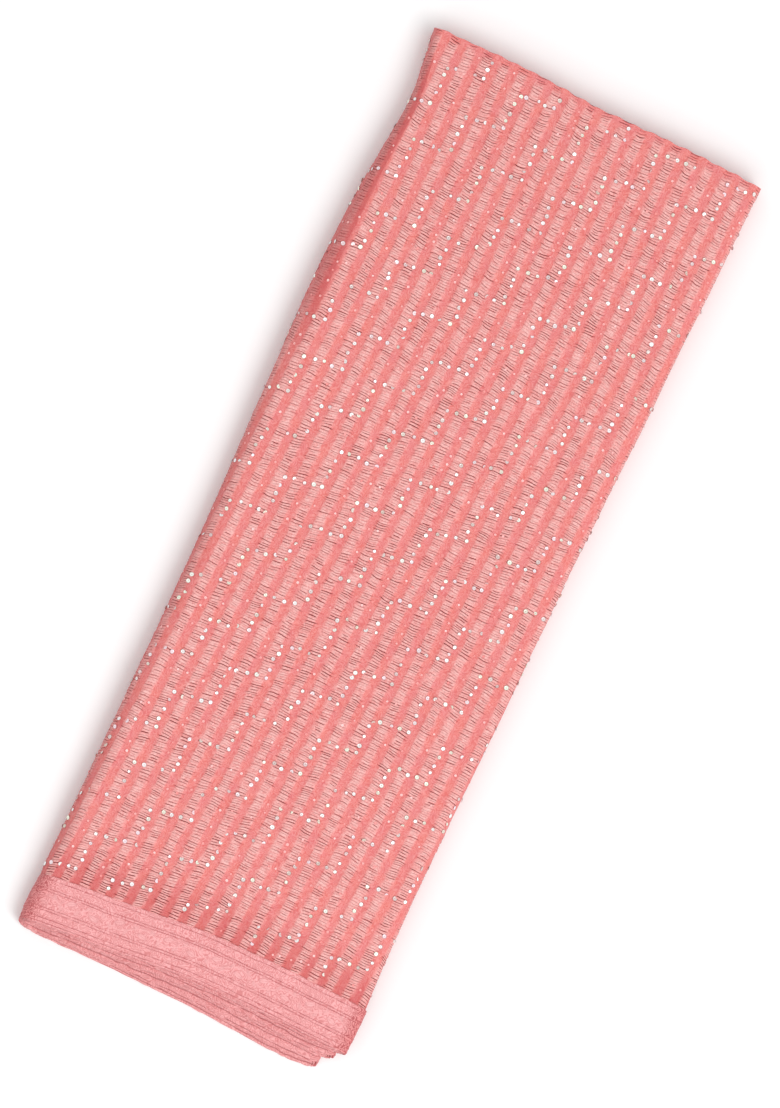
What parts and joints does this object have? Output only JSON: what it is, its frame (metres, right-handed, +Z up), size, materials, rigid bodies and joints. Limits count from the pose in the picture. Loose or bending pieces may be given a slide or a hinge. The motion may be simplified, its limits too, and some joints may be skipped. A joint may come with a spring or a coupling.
{
  "type": "folded silk sari",
  "caption": "A long silk sari with crinkled stripes, sequins and a woven border, folded into a flat packet that lies on a surface.",
  "frame": {"origin": "the middle of the packet's box, on its flat underside", "axes": "+Z up, out of the face that shows; +Y along the packet towards the head fold; -Y towards the border edges; the long spine fold is on -X"},
  "size_m": [0.2166, 0.5772, 0.0246],
  "materials": {
    "field_silk": "crinkled silk with puckered and flat stripes, soft sheen",
    "border_tape": "woven lace-like tape with a leaf scroll, satin",
    "inner_plies": "edges of the same silk and tape, matt",
    "sequin_film": "silvery, slightly iridescent film discs"
  },
  "bodies": {
    "root": {"inner_layers": "inner_plies", "face_field": "field_silk", "spine_field": "field_silk", "right_fold_field": "field_silk", "middle_fold_field": "field_silk", "under_field": "field_silk", "face_border": "border_tape", "spine_border": "border_tape", "right_fold_border": "border_tape", "middle_fold_border": "border_tape", "under_border": "border_tape"}
  },
  "joints": []
}
